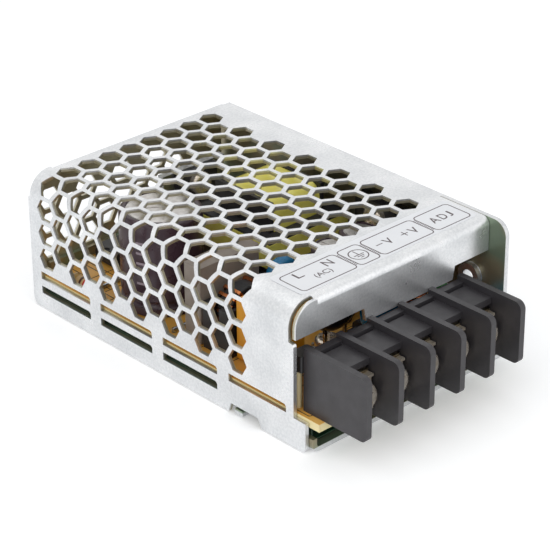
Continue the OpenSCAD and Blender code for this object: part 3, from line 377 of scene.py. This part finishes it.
# Four frames, the ladders of short strokes between them, then the marks.
marks = bmesh.new()
face_z = TOP + STICKER
for x0, x1 in ((5.2, 18.75), (19.3, 24.6), (25.1, 38.5), (39.05, 48.3)):
    join(marks, outline_only(plate_face(x0, x1, *FRAMES_Y, face_z, CORNER), LINE, INK))
for x0, x1 in ((18.75, 19.3), (24.6, 25.1), (38.5, 39.05)):
    for step in range(RUNGS):
        y0, y1 = (edge + step * RUNG_PITCH for edge in RUNG_Y)
        join(marks, bar_plate(x0, x1, y0, y1, face_z, INK))
for text, x0, x1, y0, y1 in (
        ("L", 7.9, 9.5, 10.9, 12.9), ("N", 14.8, 16.7, 10.7, 12.8),
        ("(AC)", 10.6, 14.5, 8.5, 10.3), ("V", 28.7, 30.5, 9.2, 11.3),
        ("V", 35.1, 36.9, 9.0, 11.1), ("A", 40.7, 42.6, 9.2, 11.3),
        ("D", 43.1, 44.7, 9.2, 11.3), ("J", 45.1, 46.1, 9.2, 11.3)):
    join(marks, letters(text, x0, x1, y0, y1, face_z))
minus = ((26.6, 28.2, 10.25, 10.45),)
plus = ((32.9, 34.6, 10.1, 10.3), (33.65, 33.85, 9.35, 11.05))
earth_strokes = ((21.85, 22.05, 10.2, 11.75), (20.75, 23.15, 10.0, 10.2),
                 (21.15, 22.75, 9.5, 9.7), (21.55, 22.35, 9.0, 9.2))
for x0, x1, y0, y1 in minus + plus + earth_strokes:
    join(marks, bar_plate(x0, x1, y0, y1, face_z, INK))
earth_ring = bmesh.new()
bmesh.ops.create_circle(earth_ring, cap_ends=True, segments=48, radius=1.95 * MM)
bmesh.ops.translate(earth_ring, verts=earth_ring.verts, vec=shift(21.95, 10.2, face_z))
join(marks, outline_only(earth_ring, LINE, INK))
# Dark brown ink, dull and slightly uneven.
made, tree, shader, mm = start("dark_brown_ink")
cloud = add(tree, "ShaderNodeTexNoise", {"Vector": mm, "Scale": 1 / 0.4, "Detail": 2}).outputs[0]
tree.links.new(blend_colours(tree, cloud, "#43363a", "#574a4c"), shader.inputs["Base Color"])
shader.inputs["Roughness"].default_value = 0.5
finish_piece("terminal_marks", marks, made, "case")


# ---- Chassis ----
# Folded from the same plated sheet, with drawn collars for the threads. Its fine rolling marks run
# from front to back. Inside, painted straw and green, with less metal shine, stand for a painted
# reflection of the board's amber top and green underside, but for plain zinc on the front collar
# in the wall.
CHASSIS_SHEET = 1.0
MARGIN = 0.05
COLLAR_Y, COLLAR_Z, COLLAR_RADIUS = -31, 14.7, 2.65
made, tree, shader, mm, plating, gloss = plated_sheet(
    "zinc_plated_chassis", "#dcddde", "#c2c4c6", roughness=0.32, grain=(1, 0.12, 1))
at = add(tree, "ShaderNodeSeparateXYZ", {0: mm}).outputs
in_wall = add(tree, "ShaderNodeMath", {0: at[0], 1: WIDTH / 2 - CHASSIS_SHEET + MARGIN},
              operation="LESS_THAN").outputs[0]
over_base = add(tree, "ShaderNodeMath", {0: at[2], 1: CHASSIS_SHEET - MARGIN},
                operation="GREATER_THAN").outputs[0]
off_collar = add(tree, "ShaderNodeMapping", {
    "Vector": mm, "Location": (0, -COLLAR_Y, -COLLAR_Z), "Scale": (0, 1, 1)}).outputs[0]
reach = add(tree, "ShaderNodeVectorMath", {0: off_collar}, operation="LENGTH").outputs["Value"]
flat = add(tree, "ShaderNodeMath", {0: reach, 1: COLLAR_RADIUS},
           operation="GREATER_THAN").outputs[0]
inside = add(tree, "ShaderNodeMath", {0: in_wall, 1: over_base}, operation="MULTIPLY").outputs[0]
within = add(tree, "ShaderNodeMath", {0: inside, 1: flat}, operation="MULTIPLY").outputs[0]
# Painted reflection: straw and green clouds stand for the amber board and its green underside.
reflection_clouds = add(tree, "ShaderNodeTexNoise", {"Vector": mm, "Scale": 1 / 9.0, "Detail": 1}).outputs[0]
painted_reflection = blend_colours(tree, spread(tree, reflection_clouds, 0.42, 0.6, 0, 1), "#968d74", "#82917c")
tree.links.new(blend_colours(tree, within, plating, painted_reflection), shader.inputs["Base Color"])
tree.links.new(gloss, shader.inputs["Roughness"])
tree.links.new(spread(tree, within, 0, 1, 0.86, 0.6), shader.inputs["Metallic"])
dress("base_chassis", made)


# ---- Screws and washers ----
# Turned and stamped fasteners, clamp plates and contacts. Nickel plating on the screws and clamps
# gives a bright warm metal, and tin on the contacts, washers and wires a greyer one. The
# standoffs are bare turned brass.
def bright_plating(name, light, dark, roughness, metallic=1.0):
    """An even bright metal, with a faint cloudiness 1 mm across.

    Its fine bumps are drawn coarser than real ones, so that they show."""
    made, tree, shader, mm = start(name)
    cloud = add(tree, "ShaderNodeTexNoise",
                {"Vector": mm, "Scale": 1 / 1.0, "Detail": 4}).outputs[0]
    tree.links.new(blend_colours(tree, spread(tree, cloud, 0.3, 0.7, 0, 1), dark, light),
                   shader.inputs["Base Color"])
    tree.links.new(spread(tree, cloud, 0.3, 0.7, roughness + 0.05, roughness),
                   shader.inputs["Roughness"])
    shader.inputs["Metallic"].default_value = metallic
    fine = add(tree, "ShaderNodeTexNoise", {"Vector": mm, "Scale": 1 / 0.15}).outputs[0]
    bump = add(tree, "ShaderNodeBump", {"Height": fine, "Strength": 0.03, "Distance": 0.0001})
    tree.links.new(bump.outputs[0], shader.inputs["Normal"])
    return made


POLES = range(1, 6)
screw_nickel = bright_plating("nickel_plated_steel", "#f3ebdf", "#d8cab8", 0.2, metallic=0.72)
for node in ("cover_screws", "board_screws", "heatsink_screws"):
    dress(node, screw_nickel)
for pole in POLES:
    dress(f"terminal_screw_{pole}", screw_nickel)
clamp_nickel = bright_plating("nickel_plated_brass_plate", "#e8dfd0", "#c4b5a2", 0.3,
                              metallic=0.72)
for pole in POLES:
    dress(f"terminal_clamp_{pole}", clamp_nickel)
dress("terminal_contacts", bright_plating("tinned_brass_contact", "#c9bfa6", "#9c8f78", 0.3))
dress("board_washers", bright_plating("tinned_spring_steel", "#c9cacb", "#9c9ea0", 0.3))
dress("board_standoffs", bright_plating("turned_brass", "#d8c27c", "#b79c56", 0.3))
dress("solder_joints", bright_plating("solder", "#cdd0d2", "#a4a8ab", 0.26))
dress("jumper_wires", bright_plating("tinned_copper_wire", "#d4d6d8", "#aeb1b4", 0.25))


# ---- Terminal block ----
# Moulded from black polyamide with glass fibre, in a spark-eroded mould, which leaves it a dull
# charcoal that lights up softly where it faces a lamp.
def moulded(name, base, shade, roughness, grain=0.12, depth=0.12):
    """Moulded plastic, slightly clouded over 3 mm, with an even grain given in millimetres.

    The grain of an eroded mould is finer, and is drawn coarser so that it shows."""
    made, tree, shader, mm = start(name)
    cloud = add(tree, "ShaderNodeTexNoise",
                {"Vector": mm, "Scale": 1 / 3.0, "Detail": 3}).outputs[0]
    tree.links.new(blend_colours(tree, spread(tree, cloud, 0.3, 0.7, 0, 1), shade, base),
                   shader.inputs["Base Color"])
    tree.links.new(spread(tree, cloud, 0.3, 0.7, roughness + 0.05, roughness - 0.03),
                   shader.inputs["Roughness"])
    shader.inputs["IOR"].default_value = 1.5
    fine = add(tree, "ShaderNodeTexNoise",
               {"Vector": mm, "Scale": 1 / grain, "Detail": 1}).outputs[0]
    bump = add(tree, "ShaderNodeBump", {"Height": fine, "Strength": depth, "Distance": 0.0001})
    tree.links.new(bump.outputs[0], shader.inputs["Normal"])
    return made


dress("terminal_block", moulded("black_polyamide", "#353336", "#2d2b2e", 0.42))


# ---- Circuit board ----
# Amber paper laminate, cut with a shear, under a thin lacquer. Fine dark printing marks out the
# parts; the cut edges are cream and the underside carries green lacquer over the copper.
BOARD_TOP = 6.6
BOARD_FOOT = 5.0
CUT_EDGE = 0.03
PRINT = 0.02
made, tree, shader, mm = start("paper_laminate")
at = add(tree, "ShaderNodeSeparateXYZ", {0: mm}).outputs
cloud = add(tree, "ShaderNodeTexNoise", {"Vector": mm, "Scale": 1 / 5.0, "Detail": 4}).outputs[0]
amber = blend_colours(tree, spread(tree, cloud, 0.3, 0.7, 0, 1), "#e3a546", "#edba62")
above = add(tree, "ShaderNodeMath", {0: at[2], 1: BOARD_TOP - CUT_EDGE},
            operation="GREATER_THAN").outputs[0]
below = add(tree, "ShaderNodeMath", {0: at[2], 1: BOARD_FOOT + CUT_EDGE},
            operation="LESS_THAN").outputs[0]
upper = blend_colours(tree, above, "#e8d8a4", amber)
tree.links.new(blend_colours(tree, below, upper, "#3c7a3c"), shader.inputs["Base Color"])
shader.inputs["Roughness"].default_value = 0.35
fibre = add(tree, "ShaderNodeTexNoise", {"Vector": mm, "Scale": 1 / 0.3, "Detail": 2}).outputs[0]
bump = add(tree, "ShaderNodeBump", {"Height": fibre, "Strength": 0.08, "Distance": 0.0001})
tree.links.new(bump.outputs[0], shader.inputs["Normal"])
dress("circuit_board", made)

# Dark outlines and plain strokes printed on the board round the places of its parts. The ink is
# dull and slightly uneven.
printing = bmesh.new()
for x0, x1, y0, y1 in (
        (1.6, 8.4, 1.6, 10.6), (1.6, 15.4, 12.6, 25.4), (3.4, 20.6, 33.0, 38.4),
        (1.5, 4.8, 58.6, 73.4), (24.6, 35.2, 19.4, 29.4), (20.4, 47.4, 34.4, 59.6),
        (36.2, 43.6, 11.2, 18.8), (10.6, 23.4, 64.4, 75.6), (26.2, 38.0, 66.8, 75.4)):
    join(printing, outline_only(plate_face(x0, x1, y0, y1, BOARD_TOP, 0.5), 0.2, PRINT))
for x0, x1, y0, y1 in (
        (5.2, 14.8, 61.9, 62.1), (5.2, 14.8, 68.0, 68.2), (6.4, 6.6, 62.1, 75.6),
        (9.4, 9.6, 68.2, 75.6), (1.7, 3.4, 27.6, 27.8), (1.7, 1.9, 27.8, 30.4),
        (3.2, 3.4, 27.8, 30.4), (1.7, 3.4, 31.2, 31.4), (2.2, 2.4, 43.2, 46.4),
        (2.2, 4.4, 46.4, 46.6), (1.7, 6.8, 11.4, 11.6), (4.0, 4.2, 1.0, 1.6)):
    join(printing, bar_plate(x0, x1, y0, y1, BOARD_TOP, PRINT))
made, tree, shader, mm = start("dark_board_print")
cloud = add(tree, "ShaderNodeTexNoise", {"Vector": mm, "Scale": 1 / 0.5, "Detail": 2}).outputs[0]
tree.links.new(blend_colours(tree, cloud, "#33291c", "#46392a"), shader.inputs["Base Color"])
shader.inputs["Roughness"].default_value = 0.55
finish_piece("board_print", printing, made, "case")


# ---- Insulation sheet ----
# Green fish paper, cut and folded to line the chassis. Its green is its own, but its darkness is
# painted shade from under the board. It has a slight gloss and a coarse paper grain.
# The near-black green is partly painted shade under the board.
dress("insulation_sheet",
      moulded("green_fish_paper_painted_shade", "#22402f", "#1a3023", 0.35, grain=0.4, depth=0.2))


# ---- Moulded and lacquered parts on the board ----
# Power packages, fuse, capacitor boxes, optocoupler and trimmer are moulded or cast and have an
# even, softly shining skin. The resistors are lacquered. Their leads are tinned wire.
RESISTOR_AXIS = 7.85
BAND_LENGTH = 0.55
RESISTORS_AT = ((3.1, 65.5), (40.6, 69.2), (21.6, 50.5), (46.9, 15.8))


def tin_leads(material, foot, finish="#c9c6bd", metal=True):
    """Turns what lies below a body's foot, in millimetres, into tinned wire or another finish."""
    tree = material.node_tree
    shader = tree.nodes["Principled BSDF"]
    place = add(tree, "ShaderNodeTexCoord").outputs["Object"]
    height = add(tree, "ShaderNodeSeparateXYZ", {0: place}).outputs["Z"]
    wire = add(tree, "ShaderNodeMath", {0: height, 1: foot * MM},
               operation="LESS_THAN").outputs[0]
    skin = shader.inputs["Base Color"].links[0].from_socket
    tree.links.new(blend_colours(tree, wire, skin, finish), shader.inputs["Base Color"])
    if metal:
        tree.links.new(wire, shader.inputs["Metallic"])
    return material


black_body = moulded("black_epoxy_moulding", "#2a292b", "#222123", 0.45)
for node in ("bridge_rectifier", "control_chip", "switching_transistor", "output_rectifier",
             "diodes"):
    dress(node, black_body)
# The fuse's leads wear cream sleeves.
fuse_box = moulded("black_fuse_moulding", "#2a292b", "#222123", 0.45)
dress("input_fuse", tin_leads(fuse_box, foot=13.9, finish="#d3c296", metal=False))
for node in ("choke_holder", "transformer_bobbin"):
    dress(node, moulded("black_phenolic", "#262527", "#1d1c1e", 0.42))
dress("x_capacitor", moulded("yellow_polyester_box", "#eba52a", "#de931a", 0.35))
dress("film_capacitor",
      tin_leads(moulded("beige_polyester_box", "#958a81", "#847971", 0.35), foot=6.9))
dress("optocoupler", moulded("white_epoxy", "#e8e8e4", "#d9d9d4", 0.4))
dress("trimmer_body", moulded("blue_moulding", "#2f6fae", "#285f98", 0.35))
dress("trimmer_rotor", moulded("white_moulding", "#f2f2ee", "#e2e2dc", 0.35))
dress("resistors", tin_leads(moulded("beige_lacquer", "#d9b98a", "#c9a876", 0.3), foot=6.75))

# Colour bands printed round the resistors: two red and one dark, then a gold one apart from them.
# Each band's place along the resistor comes with its radius there.
for tone, light, dark, roughness, places in (
        ("red", "#cf3a32", "#b82f2a", 0.35, ((-2.2, 1.06), (-0.7, 1.2))),
        ("brown", "#5b3526", "#4b2a1e", 0.4, ((0.4, 1.2),)),
        ("gold", "#c9a24a", "#b18a38", 0.35, ((2.2, 1.06),))):
    bands = bmesh.new()
    for x, y in RESISTORS_AT:
        for offset, radius in places:
            band = bmesh.new()
            bmesh.ops.create_cone(band, cap_ends=True, segments=24, radius1=radius * MM,
                                  radius2=radius * MM, depth=BAND_LENGTH * MM)
            bmesh.ops.rotate(band, verts=band.verts, cent=(0, 0, 0),
                             matrix=Matrix.Rotation(math.pi / 2, 3, "X"))
            bmesh.ops.translate(band, verts=band.verts,
                                vec=shift(x, y + offset, RESISTOR_AXIS))
            join(bands, band)
    finish_piece(f"{tone}_bands_on_resistors", bands,
                 moulded(f"{tone}_band_print", light, dark, roughness), "case")


# ---- Dipped discs ----
# Thermistor, varistor and suppression capacitor: ceramic discs dipped in epoxy or lacquer, which
# leaves a glossy skin with soft waves. Below the dip the leads are bare tinned wire.
def dipped(name, base, shade):
    """Dipped coating: glossy, with waves about 1.5 mm across."""
    return moulded(name, base, shade, 0.2, grain=1.5, depth=0.3)


dress("ntc_thermistor", tin_leads(dipped("black_dip", "#2b2423", "#181415"), foot=13.4))
dress("varistor", tin_leads(dipped("blue_dip", "#2f8abb", "#2678a8"), foot=11.0))
dress("y_capacitor", tin_leads(dipped("blue_epoxy_dip", "#2f86b8", "#2474a2"), foot=11.8))


# ---- Ferrite and windings ----
# Sintered ferrite cores are dark grey and matt, enamelled copper wire is glossy and warm, and the
# polyester tape round the transformer is yellow, with a sheen that breaks over its wrinkles.
ferrite = moulded("sintered_ferrite", "#29292b", "#1f1f21", 0.6, grain=0.2, depth=0.25)
for node in ("choke_core", "transformer_core", "inductor_core"):
    dress(node, ferrite)
enamel = bright_plating("enamelled_copper", "#cf8656", "#a8623a", 0.22)
for node in ("choke_windings", "inductor_winding"):
    dress(node, enamel)
tape = moulded("yellow_polyester_tape", "#f0e779", "#e4da66", 0.22, grain=2.2, depth=0.5)
for node in ("transformer_winding", "core_tape"):
    dress(node, tape)


# ---- Capacitor cans ----
# Aluminium cans in a dark shrink sleeve, smooth with a soft shine. The sleeve's rim folds over
# the can's scored top, and the leads below are tinned.
BULK_AT = (11.6, 52.3)
DASHES, DASH_FOOT, DASH_PITCH, DASH_LENGTH = 6, 11.2, 2.1, 0.45
BULK_RADIUS = 8.0
DASH_TURN, DASH_SWEEP = 193, 15
sleeve = moulded("dark_shrink_sleeve", "#46323c", "#3a2832", 0.28, grain=0.6, depth=0.06)
for node in ("bulk_capacitor", "output_capacitors", "auxiliary_capacitors"):
    dress(node, tin_leads(sleeve, foot=6.8))

# A row of pale dashes on the largest can marks its negative side.
dashes = bmesh.new()
for step in range(DASHES):
    dash = bmesh.new()
    foot = dash.verts.new((BULK_RADIUS * MM, 0, 0))
    head = dash.verts.new((BULK_RADIUS * MM, 0, DASH_LENGTH * MM))
    edge = dash.edges.new((foot, head))
    bmesh.ops.spin(dash, geom=[foot, head, edge], cent=(0, 0, 0), axis=(0, 0, 1),
                   dvec=(0, 0, 0), angle=math.radians(DASH_SWEEP), steps=8)
    bmesh.ops.recalc_face_normals(dash, faces=dash.faces)
    bmesh.ops.solidify(dash, geom=dash.faces[:], thickness=-0.03 * MM)
    bmesh.ops.recalc_face_normals(dash, faces=dash.faces)
    bmesh.ops.rotate(dash, verts=dash.verts, cent=(0, 0, 0),
                     matrix=Matrix.Rotation(math.radians(DASH_TURN), 3, "Z"))
    bmesh.ops.translate(dash, verts=dash.verts,
                        vec=shift(*BULK_AT, DASH_FOOT + step * DASH_PITCH))
    join(dashes, dash)
finish_piece("can_dashes", dashes, moulded("pale_sleeve_print", "#a596a0", "#94858f", 0.4),
             "case")

# Each can's bare top lies inside the rim of its sleeve and is scored with a cross, which opens if
# the can builds up pressure. Rolled aluminium, dull silver. The four leaves stand on a thin disc,
# with the grooves of the cross between them.
DISC = 0.08
LEAF = 0.14
LEAF_INSET = 0.25
TURN = 0.35
scored = bmesh.new()
for x, y, top, radius, groove in (
        (*BULK_AT, 25.8, 6.65, 0.45), (29.6, 24.6, 21.5, 3.05, 0.3),
        (37.8, 25.6, 21.5, 3.05, 0.3), (21.4, 41.0, 16.5, 1.75, 0.2),
        (22.5, 60.5, 16.5, 1.75, 0.2)):
    disc = bmesh.new()
    bmesh.ops.create_circle(disc, cap_ends=True, segments=48, radius=radius * MM)
    thicken(disc, list(disc.faces), DISC)
    for quarter in range(4):
        leaf = bmesh.new()
        bmesh.ops.create_circle(leaf, cap_ends=True, segments=48,
                                radius=(radius - LEAF_INSET) * MM)
        bmesh.ops.translate(leaf, verts=leaf.verts, vec=(0, 0, DISC * MM))
        for way in ((1, 0, 0), (0, 1, 0)):
            bmesh.ops.bisect_plane(leaf, geom=leaf.verts[:] + leaf.edges[:] + leaf.faces[:],
                                   plane_co=Vector(way) * groove / 2 * MM, plane_no=way,
                                   clear_inner=True)
        thicken(leaf, list(leaf.faces), LEAF)
        bmesh.ops.rotate(leaf, verts=leaf.verts, cent=(0, 0, 0),
                         matrix=Matrix.Rotation(quarter * math.pi / 2, 3, "Z"))
        join(disc, leaf)
    bmesh.ops.rotate(disc, verts=disc.verts, cent=(0, 0, 0),
                     matrix=Matrix.Rotation(TURN + x, 3, "Z"))
    bmesh.ops.translate(disc, verts=disc.verts, vec=shift(x, y, top + 0.01))
    join(scored, disc)
finish_piece("scored_can_tops", scored,
             bright_plating("rolled_aluminium_can", "#dedcda", "#bdb9b7", 0.34),
             "case")


# ---- Heatsinks ----
# Cut and bent from aluminium strip. One is left as rolled, a plain satin grey, and the other is
# anodised black and nearly matt.
dress("transistor_heatsink", bright_plating("mill_aluminium", "#c3c5c7", "#a3a5a7", 0.35))
dress("rectifier_heatsink", moulded("black_anodised_aluminium", "#2a2a2c", "#212123", 0.4))


# ---- Lamp ----
# A 3 mm indicator cast from green tinted epoxy, smooth and partly clear.
made, tree, shader, mm = start("green_epoxy_lens")
cloud = add(tree, "ShaderNodeTexNoise", {"Vector": mm, "Scale": 1 / 2.0}).outputs[0]
tree.links.new(blend_colours(tree, cloud, "#3aa04a", "#58b862"), shader.inputs["Base Color"])
shader.inputs["Roughness"].default_value = 0.1
shader.inputs["Transmission Weight"].default_value = 0.4
shader.inputs["IOR"].default_value = 1.5
dress("status_led", made)
